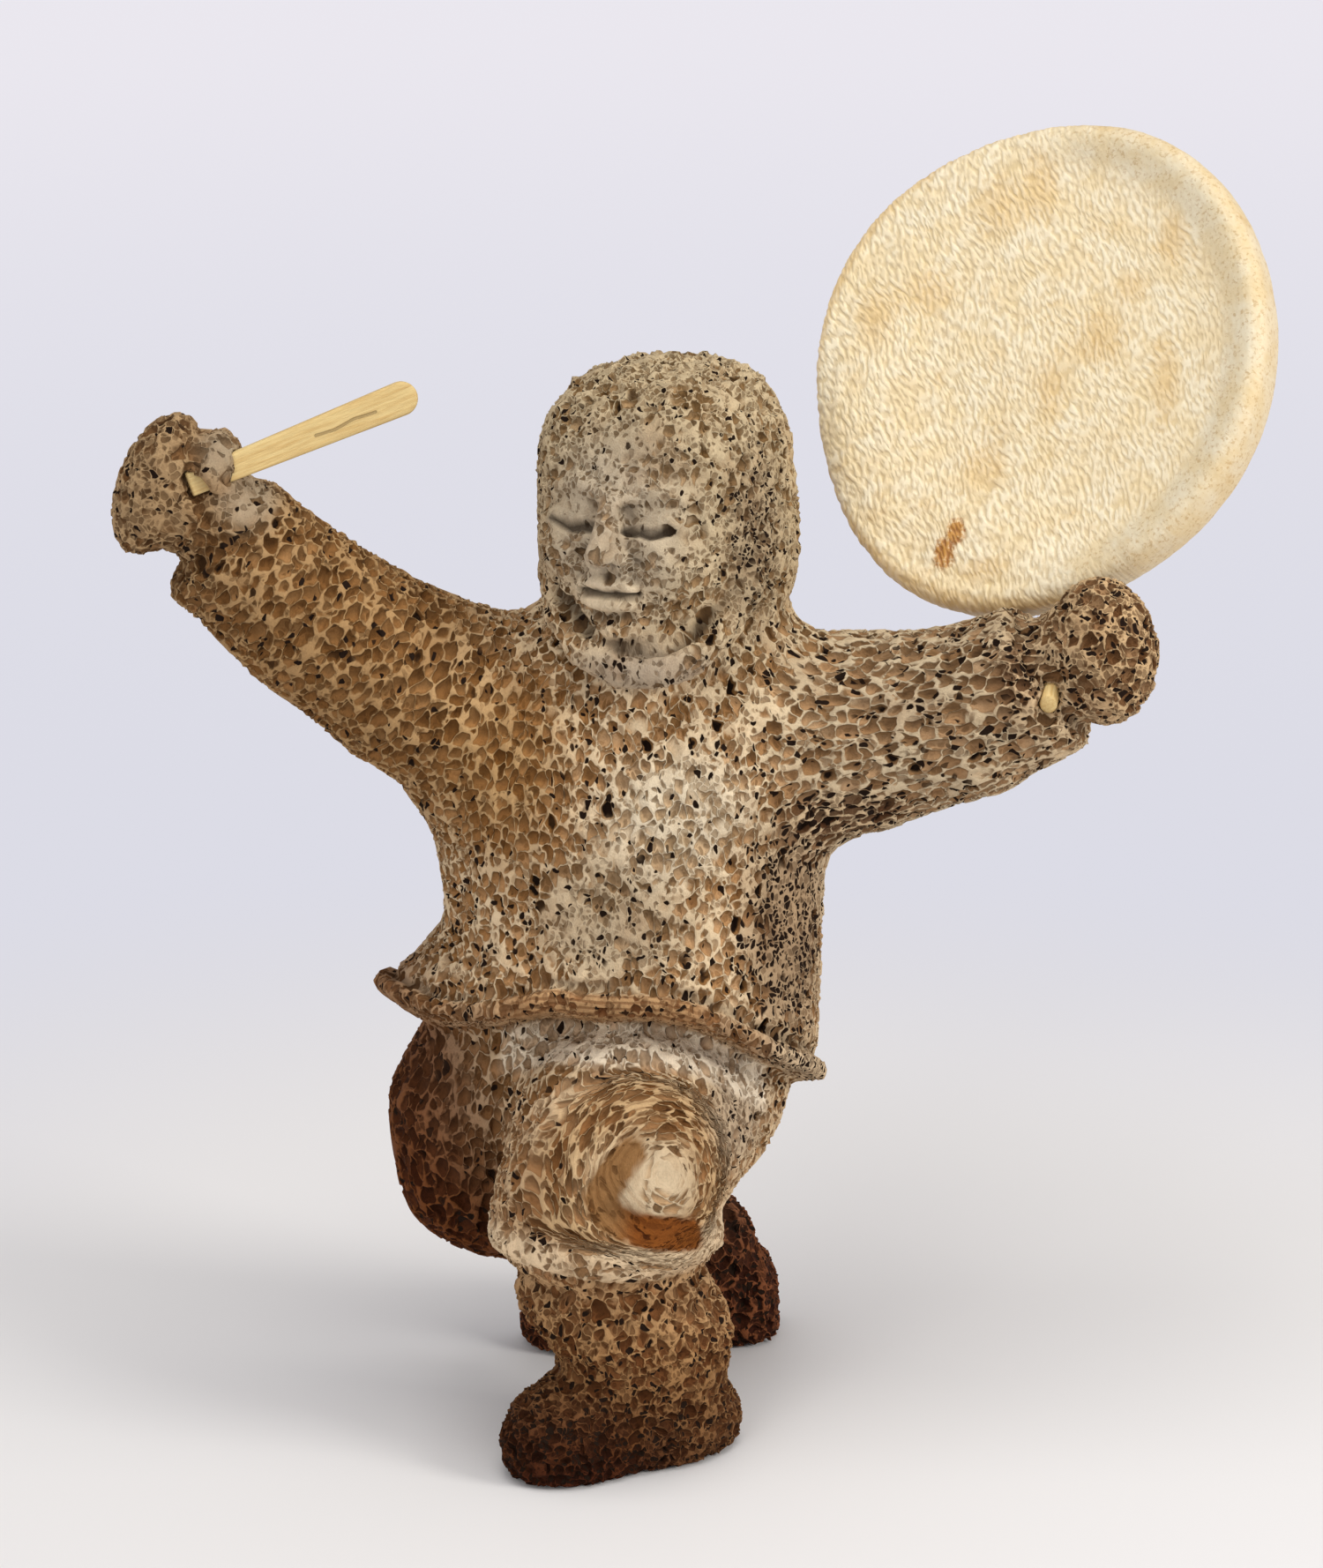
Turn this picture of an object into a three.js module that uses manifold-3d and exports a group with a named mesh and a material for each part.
// A drum dancer carved from one piece of weathered whale bone, with a beater in the right mitt
// and a skin drum in the left. Units are millimetres, +Z is up and the dancer faces -Y.
// The origin is on the ground, under the middle of the whole piece.

import * as THREE from "three";
import { mergeVertices } from "three/addons/utils/BufferGeometryUtils.js";
import Module from "manifold-3d";

const wasm = await Module();
wasm.setup();

// Driving dimensions

const GAP = 0.3; // clearance between pieces that touch
const CELL = 2.4; // grid step of the carved skin
const DANCER_TRIANGLES = 6700;
const SOLE = 0.5; // what is this close to the ground rests on it
const MIDDLE = [9.8, 5.3]; // the point of the ground that the finished piece is centred on, as carved

const TORSO_X = -8;
const HEM = { height: 106.5, across: -0.246, along: -0.42 }; // the slanting plane that ends the parka
const HEM_WAVES = [
  { at: -60, reach: 34, rise: -10.5 },
  { at: 6, reach: 30, rise: 5 },
]; // where the front of the edge dips and lifts
const HEM_ROLL = { height: 8, swell: 1.8 };
const SKULL = { at: [1.5, -3, 269.6], radii: [33, 33.5, 38.3], squareness: 3, lean: -0.07 };
const FACE_TURN = 0.44; // how far the head looks to the dancer's right, in radians
const SHIN = { x: -14, y: -43 }; // the upright axis of the front shin
const RIGHT_CUFF = { at: [-121.6, -15, 263.4], facing: [-0.72, -0.141, 0.68] };
const LEFT_CUFF = { at: [108, -21, 224.5], facing: [0.81, -0.2, 0.55] };

const BEATER = {
  inner: [-129.2, -29, 278.5],
  tip: [-67.6, -8, 299.8],
  width: [7, 9.6],
  thick: 2.6,
  bevel: 0.5,
};
const DRUM = {
  at: [104.2, 28, 301.2],
  facing: [-0.513, -0.74, 0.434],
  radius: 72,
  outOfRound: [
    [2, 0.0025, -0.73],
    [3, 0.012, -0.77],
    [4, 0.0157, 2.44],
  ], // waves round the rim, their share of the radius and where they start
  depth: 14,
  hide: 1.3,
  sag: 4.5,
  lip: 9,
  hoop: [5, 9.5],
  sides: 48,
};
const HANDLE = { end: [106.2, -39, 218.7], across: 5, deep: 7, tenon: 3.4, reach: 2.5 };

// Distance fields: each is a function of a point, negative inside

const clamp = THREE.MathUtils.clamp;
const step = THREE.MathUtils.smoothstep;

// A smooth curve through [height, value] pairs, read from a table
function profile(pairs) {
  const curve = new THREE.SplineCurve(pairs.map(([h, v]) => new THREE.Vector2(h, v)));
  const points = curve.getPoints(pairs.length * 24);
  const low = points[0].x;
  const high = points[points.length - 1].x;
  const count = 256;
  const table = new Float64Array(count + 1);
  for (let i = 0, k = 0; i <= count; i++) {
    const h = low + ((high - low) * i) / count;
    while (k < points.length - 2 && points[k + 1].x < h) k++;
    const [a, b] = [points[k], points[k + 1]];
    table[i] = THREE.MathUtils.lerp(a.y, b.y, clamp((h - a.x) / (b.x - a.x), 0, 1));
  }
  return (h) => {
    const t = clamp(((h - low) / (high - low)) * count, 0, count - 1e-6);
    const i = Math.floor(t);
    return table[i] + (table[i + 1] - table[i]) * (t - i);
  };
}

// An upright form about the line (cx, cy), with its own reach to the left, right, front and back
function column(cx, cy, rows, power = 2) {
  const side = (k) => profile(rows.map((row) => [row[0], row[k]]));
  const [left, right, front, back] = [side(1), side(2), side(3), side(4)];
  const low = rows[0][0];
  const high = rows[rows.length - 1][0];
  return (x, y, z) => {
    const a = x < cx ? cx - left(z) : right(z) - cx;
    const b = y < cy ? cy - front(z) : back(z) - cy;
    const r = Math.pow(
      Math.pow(Math.abs(x - cx) / a, power) + Math.pow(Math.abs(y - cy) / b, power),
      1 / power,
    );
    const wall = (r - 1) * Math.min(a, b);
    return Math.max(wall, z - high, low - z);
  };
}

// A chain of round stations [x, y, z, radius]
function limb(stations, blend = 6) {
  const parts = stations.slice(1).map((b, i) => {
    const a = stations[i];
    const d = [b[0] - a[0], b[1] - a[1], b[2] - a[2]];
    const square = d[0] * d[0] + d[1] * d[1] + d[2] * d[2];
    return (x, y, z) => {
      const [px, py, pz] = [x - a[0], y - a[1], z - a[2]];
      const t = clamp((px * d[0] + py * d[1] + pz * d[2]) / square, 0, 1);
      return Math.hypot(px - t * d[0], py - t * d[1], pz - t * d[2]) - a[3] - t * (b[3] - a[3]);
    };
  });
  return parts.reduce((whole, part) => union(whole, part, blend));
}

// An ellipsoid, turned by Euler angles; a power above 2 makes it squarer
function ball(at, radii, turn = [0, 0, 0], power = 2) {
  const m = new THREE.Matrix4().makeRotationFromEuler(new THREE.Euler(...turn)).transpose().elements;
  const [rx, ry, rz] = radii;
  const least = Math.min(rx, ry, rz);
  return (x, y, z) => {
    const [px, py, pz] = [x - at[0], y - at[1], z - at[2]];
    const u = (m[0] * px + m[4] * py + m[8] * pz) / rx;
    const v = (m[1] * px + m[5] * py + m[9] * pz) / ry;
    const w = (m[2] * px + m[6] * py + m[10] * pz) / rz;
    if (power !== 2) {
      const sum = Math.abs(u) ** power + Math.abs(v) ** power + Math.abs(w) ** power;
      return (sum ** (1 / power) - 1) * least;
    }
    const k0 = Math.hypot(u, v, w);
    const k1 = Math.hypot(u / rx, v / ry, w / rz);
    return k1 < 1e-9 ? -least : (k0 * (k0 - 1)) / k1;
  };
}

function union(a, b, blend) {
  return (x, y, z) => {
    const [p, q] = [a(x, y, z), b(x, y, z)];
    const h = Math.max(blend - Math.abs(p - q), 0) / blend;
    return Math.min(p, q) - (h * h * blend) / 4;
  };
}

function cut(a, b, blend) {
  return (x, y, z) => {
    const [p, q] = [a(x, y, z), -b(x, y, z)];
    const h = Math.max(blend - Math.abs(p - q), 0) / blend;
    return Math.max(p, q) + (h * h * blend) / 4;
  };
}

// Away from its own ball of space a form counts as that ball, which saves work
function within(shape, at, radius) {
  return (x, y, z) => {
    const away = Math.hypot(x - at[0], y - at[1], z - at[2]) - radius;
    return away > 14 ? away : shape(x, y, z);
  };
}

// The dancer

function hemHeight(x, y) {
  let wave = 0;
  for (const { at, reach, rise } of HEM_WAVES) {
    const off = clamp((x - at) / reach, -1, 1);
    wave += rise * (1 - off * off) ** 2;
  }
  return HEM.height + HEM.across * x + HEM.along * y + wave * (1 - step(y, -5, 20));
}

function parka() {
  const body = column(TORSO_X, 0, [
    [80, -81, 45, -48, 42],
    [104, -81, 45, -48, 42],
    [119, -81.5, 45.5, -46.5, 41],
    [126, -80, 46, -44.5, 40],
    [133, -72.5, 46.2, -42.5, 38.5],
    [139, -67, 46.4, -41, 38],
    [146, -62.5, 46.6, -40, 37.5],
    [158, -63, 46.6, -39, 37],
    [171, -65, 47, -39.5, 38],
    [184, -68, 48, -40, 39],
    [205, -60, 48, -38, 39],
    [222, -44, 40, -32, 36],
    [236, -34, 36, -27, 32],
    [250, -28, 30, -22, 28],
  ]);
  const slope = Math.hypot(1, HEM.across, HEM.along);
  return (x, y, z) => {
    const above = (z - hemHeight(x, y)) / slope;
    const round = clamp(above / HEM_ROLL.height, 0, 1);
    const roll = HEM_ROLL.swell * Math.sqrt(Math.sin(Math.PI * Math.min(round + 0.15, 1)));
    const [side, under] = [body(x, y, z) - roll, -above];
    const h = Math.max(5 - Math.abs(side - under), 0);
    return Math.max(side, under) + (h * h) / 20;
  };
}

// A sleeve ends square across its own direction
function sleeve(stations, cuff) {
  const arm = limb(stations, 3);
  const middle = stations[2];
  const whole = within(arm, middle.slice(0, 3), 110);
  const [at, n] = [cuff.at, cuff.facing];
  const beyond = (x, y, z) => (at[0] - x) * n[0] + (at[1] - y) * n[1] + (at[2] - z) * n[2];
  return cut(whole, beyond, 4);
}

function arms() {
  const right = sleeve(
    [
      [-36, 1, 201, 30.5],
      [-71.5, -5, 217.5, 26],
      [-98.3, -10, 237.6, 23.4],
      [-122.6, -15, 260.6, 21],
      [-131, -16, 268, 20],
    ],
    RIGHT_CUFF,
  );
  const left = sleeve(
    [
      [20, 1, 196, 31],
      [55, -3, 201.1, 28.6],
      [86, -13, 209.8, 24.2],
      [105, -20, 220.9, 22.2],
      [118, -24, 229.5, 20],
    ],
    LEFT_CUFF,
  );
  return [right, left];
}

// Each mitt is a closed fist: the folded fingers, the thumb or heel of the hand, and the wrist
function rightMitt() {
  const fingers = ball([-138.7, -19, 276.4], [11.5, 15.5, 21.5], [0, 0.38, 0]);
  const thumb = ball([-124.8, -19, 279.7], [8.5, 14.5, 13.5], [0, 0.5, 0]);
  const wrist = limb([
    [-112, -14, 257, 15],
    [-130, -17, 272, 15.5],
  ]);
  return within(union(union(fingers, thumb, 1.5), wrist, 3), [-128, -17, 270], 36);
}

function leftMitt() {
  const fingers = ball([121.4, -31, 232], [16, 17.5, 21.4], [0.1, -0.12, 0]);
  const wrist = limb([
    [100, -18, 219, 15],
    [118, -24, 229, 16.5],
  ]);
  return within(union(fingers, wrist, 2), [115, -26, 228], 36);
}

// The slot in the front of the right fist, where the end of the beater shows
function mittSlot() {
  return ball([-126, -34, 276.5], [7.5, 7, 3.6], [0, 0.9, 0]);
}

// The turned head has axes of its own: sideways, forwards and up, from the middle of the skull
function onFace(shape) {
  const [c, s] = [Math.cos(FACE_TURN), Math.sin(FACE_TURN)];
  const [x0, y0, z0] = SKULL.at;
  return (x, y, z) => {
    const [px, py] = [x - x0, y - y0];
    return shape(c * px - s * py, -s * px - c * py, z - z0);
  };
}

function face() {
  const mask = ball([0, 13, -8], [27, 26, 32]);
  const cheeks = [-1, 1].map((side) => ball([side * 15, 25, -10], [11, 11, 11]));
  const jaw = ball([0, 16, -22], [21, 20, 15]);
  const chin = ball([0, 31, -30], [8.5, 7.5, 6.5]);
  const nose = limb(
    [
      [0, 36, 8, 2.4],
      [0, 41, -7, 3.9],
    ],
    2,
  );
  const wings = [-1, 1].map((side) => ball([side * 4.2, 39, -9], [3.4, 3.8, 3.1]));
  const lips = ball([0, 35.5, -19.5], [9.5, 5, 4]);
  let form = union(union(mask, jaw, 8), chin, 6);
  for (const cheek of cheeks) form = union(form, cheek, 8);
  form = union(form, nose, 4);
  for (const wing of wings) form = union(form, wing, 3);
  return onFace(union(form, lips, 3));
}

function eyeSockets() {
  const [left, right] = [-1, 1].map((side) => ball([side * 12, 40, 2], [8, 7.5, 4.6]));
  return onFace(union(left, right, 1));
}

function hoodBrim() {
  return limb(
    [
      [-31, -12.5, 250, 3.6],
      [-28, -22.7, 240, 4.4],
      [-21, -31.8, 232.5, 5],
      [-11, -37, 228.5, 5.2],
      [0, -38, 228.5, 5.2],
      [8, -36, 232, 5.2],
      [17, -31.5, 239.5, 5],
      [23.5, -27, 249, 4.5],
      [27, -21, 260, 3.8],
    ],
    4,
  );
}

function head() {
  const skull = ball(SKULL.at, SKULL.radii, [0, SKULL.lean, -FACE_TURN], SKULL.squareness);
  const hood = ball([4, 5, 252], [33, 32, 38]);
  const throat = ball([-3, -14, 238], [25, 21, 15]);
  const front = cut(union(skull, face(), 4), eyeSockets(), 3);
  const whole = union(union(union(front, hood, 8), throat, 3), hoodBrim(), 2);
  return within(whole, [2, -4, 262], 58);
}

// The front leg: a bent knee in wide trousers, over a boot with a slack shaft
function frontLeg() {
  const thigh = limb([
    [4, 6, 92, 32],
    [-10, -26, 88, 32],
    [-16, -42, 78, 30.5],
  ]);
  const shin = column(SHIN.x, SHIN.y, [
    [10, -30, 17, -64, -22],
    [22, -29.5, 19, -66, -22],
    [31, -30.5, 20.5, -69, -18],
    [37, -35, 21, -71, -15],
    [44, -40.5, 19, -70.5, -16],
    [50, -42, 16, -69, -17],
    [56, -41, 12.5, -67, -19],
    [60, -44, 14.5, -71, -17],
    [64, -48.5, 18, -74, -14],
    [67, -49.5, 18, -75, -14],
    [76, -48, 14, -74, -14],
    [86, -44, 12, -72, -18],
  ]);
  const groove = limb(
    [
      [-7.5, -64.2, 98.5, 2.4],
      [-12.5, -68.8, 93.5, 3.4],
      [-17, -72, 87, 3.7],
      [-14, -74.4, 81, 3.9],
      [-6, -73.9, 77.5, 3.9],
      [4, -68.9, 74.5, 3.7],
      [10, -62.7, 72.5, 2.8],
    ],
    1.5,
  );
  const boot = union(
    ball([-25, -55, 9], [22.5, 18.5, 19], [0, 0, 0.65]),
    ball([0.5, -41, 7], [25.5, 18.5, 17], [0, 0, 0.65]),
    10,
  );
  return within(union(cut(union(thigh, shin, 3), groove, 1), boot, 5), [-10, -30, 58], 76);
}

// The rear leg: the knee bent to the ground behind, and the boot pointing the other way
function rearLeg() {
  const thigh = limb([
    [-40, 6, 101, 31],
    [-49.5, 8, 84, 29],
    [-52, 7, 68, 25],
  ]);
  const shin = limb([
    [-46, 13, 60, 22],
    [-18, 31, 43, 19],
    [10, 43, 29, 19],
  ]);
  const boot = union(
    ball([-23, 40, 6], [20, 17, 15]),
    ball([14, 48.5, 8], [22, 18, 20.5], [0, 0, 0], 3),
    8,
  );
  return within(union(union(thigh, shin, 5), boot, 5), [-20, 26, 58], 88);
}

function dancer() {
  const pelvis = ball([-6, 6, 102], [42, 33, 32]);
  const legs = union(union(pelvis, frontLeg(), 8), rearLeg(), 5);
  const [rightArm, leftArm] = arms();
  let top = union(union(parka(), rightArm, 13), leftArm, 11);
  top = union(top, head(), 4);
  top = union(union(top, rightMitt(), 1.2), leftMitt(), 1.2);
  const whole = cut(union(top, legs, 2.5), mittSlot(), 1);
  return (x, y, z) => Math.max(whole(x, y, z), -z);
}

// The skin of a distance field, as one closed mesh of quads cut into triangles

function skinOf(field, low, high, cell) {
  const n = [0, 1, 2].map((k) => Math.ceil((high[k] - low[k]) / cell) + 1);
  const index = (i, j, k) => (k * n[1] + j) * n[0] + i;
  const value = new Float32Array(n[0] * n[1] * n[2]);
  for (let k = 0; k < n[2]; k++)
    for (let j = 0; j < n[1]; j++)
      for (let i = 0; i < n[0]; i++)
        value[index(i, j, k)] = field(low[0] + i * cell, low[1] + j * cell, low[2] + k * cell);

  // Where two parts of the skin would meet along an edge or at a corner, the space between is filled
  const squares = [];
  for (const bit of [1, 2, 4])
    for (const side of [0, bit]) {
      const [u, v] = [1, 2, 4].filter((other) => other !== bit);
      squares.push([side, side + u, side + u + v, side + v]);
    }
  const cubes = [[0, 7], [1, 6], [2, 5], [3, 4]];
  for (let changed = true; changed; ) {
    changed = false;
    for (let k = 0; k < n[2] - 1; k++)
      for (let j = 0; j < n[1] - 1; j++)
        for (let i = 0; i < n[0] - 1; i++) {
          const at = (c) => index(i + (c & 1), j + ((c >> 1) & 1), k + (c >> 2));
          const inside = [0, 1, 2, 3, 4, 5, 6, 7].map((c) => value[at(c)] < 0);
          const total = inside.filter(Boolean).length;
          if (total === 0 || total === 8) continue;
          const fill = (c) => {
            value[at(c)] = -0.1 * cell;
            inside[c] = true;
            changed = true;
          };
          for (const [a, b, c, d] of squares) {
            if (inside[a] !== inside[c] || inside[b] !== inside[d] || inside[a] === inside[b]) continue;
            const [p, q] = inside[a] ? [b, d] : [a, c];
            fill(value[at(p)] < value[at(q)] ? p : q);
          }
          for (const [a, b] of cubes) {
            if (total === 2 && inside[a] && inside[b]) fill(a ^ 1);
            if (total === 6 && !inside[a] && !inside[b]) fill(a);
          }
        }
  }

  const positions = [];
  const triangles = [];
  const vertexOf = new Map();
  const corners = [0, 1, 2, 3, 4, 5, 6, 7].map((c) => [c & 1, (c >> 1) & 1, c >> 2]);
  const edges = [];
  for (let a = 0; a < 8; a++) for (const bit of [1, 2, 4]) if (!(a & bit)) edges.push([a, a | bit]);

  function vertexIn(i, j, k) {
    const key = index(i, j, k);
    if (vertexOf.has(key)) return vertexOf.get(key);
    const p = [0, 0, 0];
    let count = 0;
    for (const [a, b] of edges) {
      const [ca, cb] = [corners[a], corners[b]];
      const va = value[index(i + ca[0], j + ca[1], k + ca[2])];
      const vb = value[index(i + cb[0], j + cb[1], k + cb[2])];
      if (va < 0 === vb < 0) continue;
      const t = va / (va - vb);
      for (let m = 0; m < 3; m++) p[m] += ca[m] + (cb[m] - ca[m]) * t;
      count++;
    }
    positions.push(
      low[0] + (i + p[0] / count) * cell,
      low[1] + (j + p[1] / count) * cell,
      low[2] + (k + p[2] / count) * cell,
    );
    vertexOf.set(key, positions.length / 3 - 1);
    return positions.length / 3 - 1;
  }

  for (let k = 1; k < n[2] - 1; k++)
    for (let j = 1; j < n[1] - 1; j++)
      for (let i = 1; i < n[0] - 1; i++)
        for (let axis = 0; axis < 3; axis++) {
          const to = [i, j, k];
          to[axis]++;
          const inside = value[index(i, j, k)] < 0;
          if (inside === value[index(...to)] < 0) continue;
          const [u, v] = [(axis + 1) % 3, (axis + 2) % 3];
          const ring = [[0, 0], [1, 0], [1, 1], [0, 1]].map(([s, t]) => {
            const c = [i, j, k];
            c[u] -= s;
            c[v] -= t;
            return vertexIn(...c);
          });
          if (!inside) ring.reverse();
          triangles.push(ring[0], ring[1], ring[2], ring[0], ring[2], ring[3]);
        }
  return { positions, triangles };
}

// Edge collapse by quadric error, down to a number of triangles

function simplify({ positions, triangles }, target) {
  const vertexCount = positions.length / 3;
  const P = Float64Array.from(positions);
  const quadrics = new Float64Array(vertexCount * 10);
  const faces = [];
  const facesOf = Array.from({ length: vertexCount }, () => new Set());
  const normalOf = (a, b, c) => {
    const [ax, ay, az] = [P[3 * a], P[3 * a + 1], P[3 * a + 2]];
    const [ux, uy, uz] = [P[3 * b] - ax, P[3 * b + 1] - ay, P[3 * b + 2] - az];
    const [vx, vy, vz] = [P[3 * c] - ax, P[3 * c + 1] - ay, P[3 * c + 2] - az];
    return [uy * vz - uz * vy, uz * vx - ux * vz, ux * vy - uy * vx];
  };
  for (let t = 0; t < triangles.length; t += 3) {
    const face = [triangles[t], triangles[t + 1], triangles[t + 2]];
    const n = normalOf(...face);
    const area = Math.hypot(...n);
    const [a, b, c] = n.map((value) => value / (area || 1));
    const d = -(a * P[3 * face[0]] + b * P[3 * face[0] + 1] + c * P[3 * face[0] + 2]);
    const q = [a * a, a * b, a * c, a * d, b * b, b * c, b * d, c * c, c * d, d * d];
    for (const v of face) {
      facesOf[v].add(faces.length);
      for (let k = 0; k < 10; k++) quadrics[10 * v + k] += q[k] * area;
    }
    faces.push(face);
  }
  const neighbours = (v) => {
    const ring = new Set();
    for (const f of facesOf[v]) for (const w of faces[f]) if (w !== v) ring.add(w);
    return ring;
  };
  const version = new Uint32Array(vertexCount);

  // The best place for the vertex that replaces a and b, and its error
  function merge(a, b) {
    const q = new Float64Array(10);
    for (let k = 0; k < 10; k++) q[k] = quadrics[10 * a + k] + quadrics[10 * b + k];
    const error = (x, y, z) =>
      q[0] * x * x + 2 * q[1] * x * y + 2 * q[2] * x * z + 2 * q[3] * x + q[4] * y * y +
      2 * q[5] * y * z + 2 * q[6] * y + q[7] * z * z + 2 * q[8] * z + q[9];
    const length = Math.hypot(P[3 * a] - P[3 * b], P[3 * a + 1] - P[3 * b + 1], P[3 * a + 2] - P[3 * b + 2]);
    const middle = [0, 1, 2].map((k) => (P[3 * a + k] + P[3 * b + k]) / 2);
    const m = new THREE.Matrix3().set(q[0], q[1], q[2], q[1], q[4], q[5], q[2], q[5], q[7]);
    const choices = [middle, [0, 1, 2].map((k) => P[3 * a + k]), [0, 1, 2].map((k) => P[3 * b + k])];
    const scale = q[0] + q[4] + q[7];
    if (Math.abs(m.determinant()) > 1e-4 * scale * scale * scale) {
      const best = new THREE.Vector3(-q[3], -q[6], -q[8]).applyMatrix3(m.invert());
      if (best.distanceTo(new THREE.Vector3(...middle)) < 2 * length) choices.push(best.toArray());
    }
    let found = null;
    for (const at of choices) {
      const cost = error(...at) + 1e-4 * length * length * length;
      if (!found || cost < found.cost) found = { cost, at };
    }
    return found;
  }

  // A binary heap of collapses, cheapest first
  const heap = [];
  const swap = (i, j) => ([heap[i], heap[j]] = [heap[j], heap[i]]);
  function push(a, b) {
    const { cost, at } = merge(a, b);
    heap.push({ cost, at, a, b, stamp: version[a] + version[b] });
    for (let i = heap.length - 1; i > 0; ) {
      const parent = (i - 1) >> 1;
      if (heap[parent].cost <= heap[i].cost) break;
      swap(i, parent);
      i = parent;
    }
  }
  function pop() {
    const top = heap[0];
    const last = heap.pop();
    if (heap.length) {
      heap[0] = last;
      for (let i = 0; ; ) {
        let least = i;
        for (const child of [2 * i + 1, 2 * i + 2])
          if (child < heap.length && heap[child].cost < heap[least].cost) least = child;
        if (least === i) break;
        swap(i, least);
        i = least;
      }
    }
    return top;
  }
  const keepsShape = (v, gone, at) => {
    for (const f of facesOf[v]) {
      const face = faces[f];
      if (face.includes(gone)) continue;
      const before = normalOf(...face);
      const old = [P[3 * v], P[3 * v + 1], P[3 * v + 2]];
      for (let k = 0; k < 3; k++) P[3 * v + k] = at[k];
      const after = normalOf(...face);
      for (let k = 0; k < 3; k++) P[3 * v + k] = old[k];
      const dot = before[0] * after[0] + before[1] * after[1] + before[2] * after[2];
      const size = Math.hypot(...after);
      if (size < 0.05 || dot < 0.3 * Math.hypot(...before) * size) return false;
    }
    return true;
  };

  for (let v = 0; v < vertexCount; v++) for (const w of neighbours(v)) if (v < w) push(v, w);
  let count = faces.length;
  const gone = new Uint8Array(vertexCount);
  while (count > target && heap.length) {
    const { a, b, at, stamp } = pop();
    if (gone[a] || gone[b] || stamp !== version[a] + version[b]) continue;
    const [ringA, ringB] = [neighbours(a), neighbours(b)];
    let shared = 0;
    for (const w of ringA) if (ringB.has(w)) shared++;
    if (shared !== 2 || !keepsShape(a, b, at) || !keepsShape(b, a, at)) continue;
    for (let k = 0; k < 3; k++) P[3 * a + k] = at[k];
    for (let k = 0; k < 10; k++) quadrics[10 * a + k] += quadrics[10 * b + k];
    for (const f of facesOf[b]) {
      const face = faces[f];
      if (face.includes(a)) {
        for (const w of face) facesOf[w].delete(f);
        faces[f] = null;
        count--;
      } else {
        face[face.indexOf(b)] = a;
        facesOf[a].add(f);
      }
    }
    facesOf[b].clear();
    gone[b] = 1;
    version[a]++;
    for (const w of neighbours(a)) {
      version[w]++;
    }
    const around = new Set([a, ...neighbours(a)]);
    for (const v of around) for (const w of neighbours(v)) if (v < w || !around.has(w)) push(v, w);
  }
  const geometry = new THREE.BufferGeometry();
  geometry.setAttribute("position", new THREE.BufferAttribute(Float32Array.from(P), 3));
  geometry.setIndex(faces.filter(Boolean).flat());
  return geometry;
}

// Solids, cuts and frames of reference

function solid(geometry) {
  const bare = geometry.clone();
  bare.deleteAttribute("normal");
  bare.deleteAttribute("uv");
  const merged = mergeVertices(bare, 1e-4);
  return new wasm.Manifold(
    new wasm.Mesh({
      numProp: 3,
      vertProperties: Float32Array.from(merged.attributes.position.array),
      triVerts: Uint32Array.from(merged.index.array),
    }),
  );
}

function geometryOf(manifold) {
  const mesh = manifold.getMesh();
  const geometry = new THREE.BufferGeometry();
  geometry.setAttribute("position", new THREE.BufferAttribute(mesh.vertProperties, 3));
  geometry.setIndex(new THREE.BufferAttribute(mesh.triVerts, 1));
  return geometry;
}

// A frame at a point, with its Z along a direction and its X as near as it can be to a hint
function frameAt(at, along, hint) {
  const z = new THREE.Vector3(...along).normalize();
  const y = new THREE.Vector3().crossVectors(z, new THREE.Vector3(...hint)).normalize();
  const x = new THREE.Vector3().crossVectors(y, z);
  return new THREE.Matrix4().makeBasis(x, y, z).setPosition(...at);
}

// The beater: a flat stick that widens to a round tip

function beaterShape(grow) {
  const length = new THREE.Vector3(...BEATER.inner).distanceTo(new THREE.Vector3(...BEATER.tip));
  const [narrow, wide] = BEATER.width.map((width) => width / 2 + grow);
  const shape = new THREE.Shape();
  shape.moveTo(-narrow, -grow);
  shape.lineTo(narrow, -grow);
  shape.lineTo(wide, length - wide);
  shape.absarc(0, length - wide, wide, 0, Math.PI, false);
  shape.lineTo(-narrow, -grow);
  return shape;
}

function beaterFrame() {
  const [a, b] = [new THREE.Vector3(...BEATER.inner), new THREE.Vector3(...BEATER.tip)];
  const y = b.clone().sub(a).normalize();
  const x = new THREE.Vector3().crossVectors(y, new THREE.Vector3(0, -1, 0)).normalize();
  return new THREE.Matrix4().makeBasis(x, y, new THREE.Vector3().crossVectors(x, y)).setPosition(a);
}

function beater() {
  const geometry = new THREE.ExtrudeGeometry(beaterShape(-BEATER.bevel), {
    depth: BEATER.thick - 2 * BEATER.bevel,
    bevelThickness: BEATER.bevel,
    bevelSize: BEATER.bevel,
    bevelSegments: 1,
    curveSegments: 8,
  });
  geometry.translate(0, 0, -BEATER.thick / 2 + BEATER.bevel);
  return geometry.applyMatrix4(beaterFrame());
}

function beaterSocket() {
  const depth = BEATER.thick + 2 * GAP;
  const geometry = new THREE.ExtrudeGeometry(beaterShape(GAP), { depth, bevelEnabled: false });
  geometry.translate(0, 0, -depth / 2);
  return geometry.applyMatrix4(beaterFrame());
}

// The drum: its own Z faces out of the hide, and its front edge is at Z = 0

const drumFrame = () => frameAt(DRUM.at, DRUM.facing, [1, 0, 0]);

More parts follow.
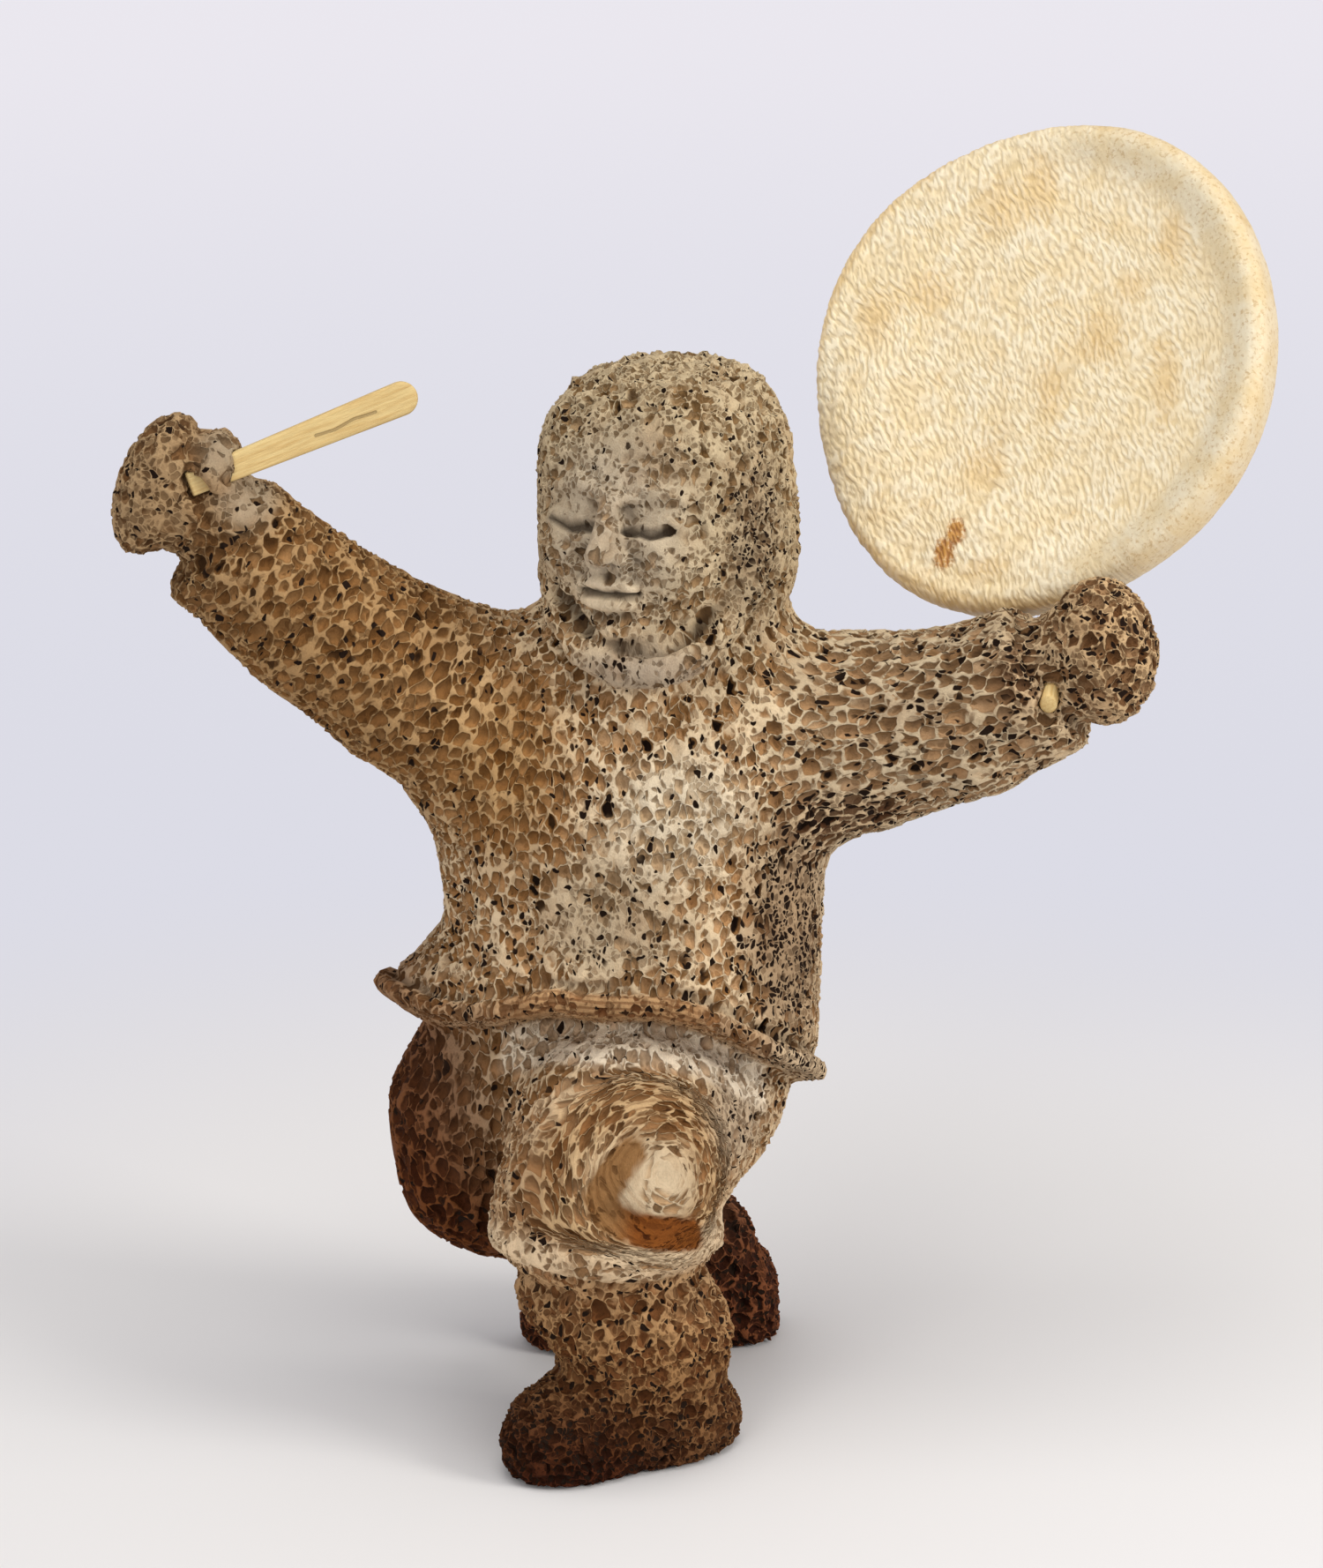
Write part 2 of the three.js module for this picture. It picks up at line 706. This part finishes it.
// A lathe turned about the drum's axis, a little out of round
function turned(outline) {
  const geometry = new THREE.LatheGeometry(
    outline.map(([r, h]) => new THREE.Vector2(r, h)),
    DRUM.sides,
  );
  geometry.rotateX(Math.PI / 2);
  const p = geometry.attributes.position;
  for (let i = 0; i < p.count; i++) {
    const angle = Math.atan2(p.getY(i), p.getX(i));
    let round = 1;
    for (const [waves, share, start] of DRUM.outOfRound) round += share * Math.cos(waves * angle + start);
    p.setXY(i, p.getX(i) * round, p.getY(i) * round);
  }
  return geometry;
}

function hideOutline() {
  const { radius: R, depth, hide, sag, lip } = DRUM;
  return [
    [0, -sag],
    [R * 0.45, -sag * 0.97],
    [R * 0.7, -sag * 0.85],
    [R - 15, -sag * 0.62],
    [R - 10, -sag * 0.25],
    [R - 6, 0.6],
    [R - 2.5, 0.3],
    [R - 0.4, -1.8],
    [R, -5],
    [R - 0.6, -depth + 1.5],
    [R - 2, -depth],
    [R - lip, -depth],
    [R - lip, -depth + hide],
    [R - hide - 0.8, -depth + hide],
    [R - hide - 0.4, -hide - 1.2],
    [R - hide - 6.6, -hide - 1.2],
    [R - 11, -sag * 0.4 - hide],
    [R - 15.5, -sag * 0.65 - hide],
    [R * 0.7, -sag * 0.87 - hide],
    [0, -sag - hide],
  ].reverse();
}

const drumHide = () => turned(hideOutline()).applyMatrix4(drumFrame());

function drumHoop() {
  const outer = DRUM.radius - DRUM.hide - 0.8 - GAP;
  const [inner, front] = [outer - DRUM.hoop[0], -DRUM.hide - 1.2 - GAP];
  const back = front - DRUM.hoop[1];
  const outline = [
    [inner, back],
    [outer, back],
    [outer, front],
    [inner, front],
    [inner, back],
  ];
  return turned(outline).applyMatrix4(drumFrame());
}

// The handle runs from the dancer's left wrist to the hoop, which its tenon enters

function handlePath() {
  const centre = new THREE.Vector3(...DRUM.at);
  const facing = new THREE.Vector3(...DRUM.facing).normalize();
  const end = new THREE.Vector3(...HANDLE.end);
  const out = end.clone().sub(centre);
  out.addScaledVector(facing, -out.dot(facing)).normalize();
  const rim = centre.addScaledVector(facing, -DRUM.depth / 2).addScaledVector(out, DRUM.radius);
  return { end, rim, out, length: end.distanceTo(rim) };
}

function rod(across, deep, from, to, sides, round) {
  const shape = new THREE.Shape();
  shape.absellipse(0, 0, across / 2, deep / 2, 0, 2 * Math.PI, false);
  const bevel = Math.min(round, 1);
  return new THREE.ExtrudeGeometry(shape, {
    depth: to - from - 2 * bevel,
    curveSegments: sides,
    bevelEnabled: bevel > 0,
    bevelThickness: bevel,
    bevelSize: 0,
    bevelSegments: 1,
  }).translate(0, 0, from + bevel);
}

function handleRod(grow, beyond) {
  const { end, rim, length } = handlePath();
  const along = rim.clone().sub(end).toArray();
  return rod(HANDLE.across + 2 * grow, HANDLE.deep + 2 * grow, -beyond, length - 3.2, 14, 0).applyMatrix4(
    frameAt(end.toArray(), along, [1, 0, 0]),
  );
}

function handleTenon(grow) {
  const { end, rim, length } = handlePath();
  const along = rim.clone().sub(end).toArray();
  const size = HANDLE.tenon + 2 * grow;
  return rod(size, size, length - 6, length + HANDLE.reach + grow, 10, 0).applyMatrix4(
    frameAt(end.toArray(), along, [1, 0, 0]),
  );
}

// The pieces

const material = (color, roughness) =>
  new THREE.MeshStandardMaterial({ color, roughness, metalness: 0 });

function piece(name, geometry, look) {
  const mesh = new THREE.Mesh(geometry, look);
  mesh.name = name;
  return mesh;
}

// The soles are made truly flat
function flattened(geometry) {
  const p = geometry.attributes.position;
  for (let i = 0; i < p.count; i++) if (Math.abs(p.getZ(i)) < SOLE) p.setZ(i, 0);
  return geometry;
}

const skin = skinOf(dancer(), [-160, -95, -CELL * 2.5], [145, 90, 315], CELL);
const carved = solid(flattened(simplify(skin, DANCER_TRIANGLES)))
  .subtract(solid(beaterSocket()))
  .subtract(solid(handleRod(GAP, 6)))
  .subtract(solid(handleTenon(GAP)));
const mortised = (geometry) => solid(geometry).subtract(solid(handleTenon(GAP)));

const group = new THREE.Group();
group.add(
  piece("dancer", geometryOf(carved), material(0x9c8464, 0.9)),
  piece("beater", beater(), material(0xd2b06a, 0.55)),
  piece("drum_hide", geometryOf(mortised(drumHide())), material(0xd9c48f, 0.6)),
  piece("drum_hoop", geometryOf(mortised(drumHoop())), material(0x9a7446, 0.6)),
  piece(
    "drum_handle",
    geometryOf(solid(handleRod(0, 0)).add(solid(handleTenon(0)))),
    material(0xc79c54, 0.6),
  ),
);
group.position.set(-MIDDLE[0], -MIDDLE[1], 0);

export default group;
